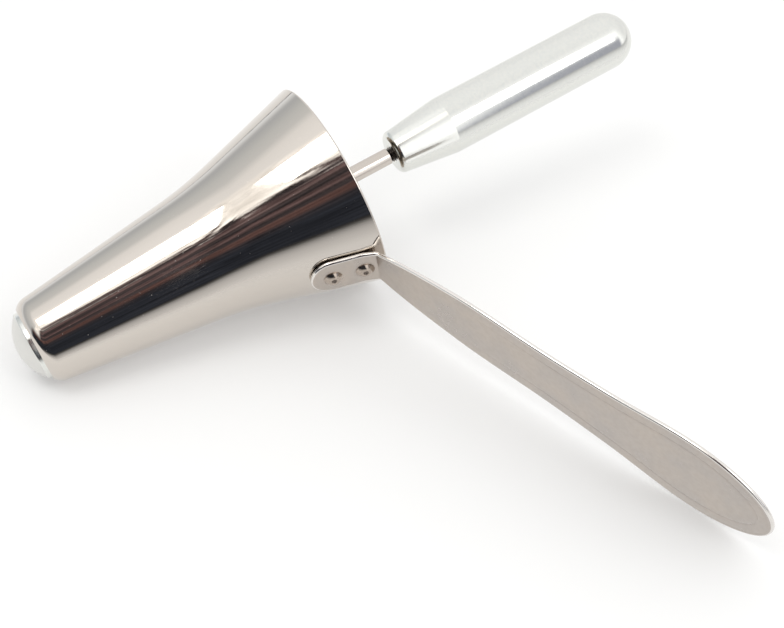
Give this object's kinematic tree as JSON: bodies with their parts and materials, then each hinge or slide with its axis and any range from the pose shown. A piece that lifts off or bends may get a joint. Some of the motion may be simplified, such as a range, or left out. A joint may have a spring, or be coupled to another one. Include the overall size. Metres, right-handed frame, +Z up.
{
  "type": "anal speculum",
  "caption": "Flared tubular speculum with a strap handle riveted to its wide mouth and a loose obturator, a domed nose on a rod with a turned grip, seated in its narrow tip.",
  "frame": {"origin": "on the table, under the centre of the bounding box of the instrument as it lies", "axes": "+Z up from the table; the instrument's axis lies in the XZ plane's direction, from the tip at -X to the grip's end at +X, rising towards the grip; the handle reaches towards -Y"},
  "size_m": [0.1756, 0.1602, 0.0531],
  "materials": {
    "sleeve": "mirror polished stainless steel",
    "handle": "satin stainless steel with polished edges",
    "rivets": "polished stainless steel",
    "nose": "fine turned",
    "rod": "bright drawn stainless steel",
    "grip": "satin turned"
  },
  "bodies": {
    "speculum": {"sleeve": "sleeve", "handle": "handle", "rivet_front": "rivets", "rivet_rear": "rivets"},
    "obturator": {"obturator_nose": "nose", "obturator_rod": "rod", "obturator_grip": "grip"}
  },
  "joints": [
    {"name": "obturator_slide", "type": "slide", "parent": "speculum", "child": "obturator", "axis": [0.9817, 0, 0.1903], "range_m": [0, 0.1]}
  ]
}
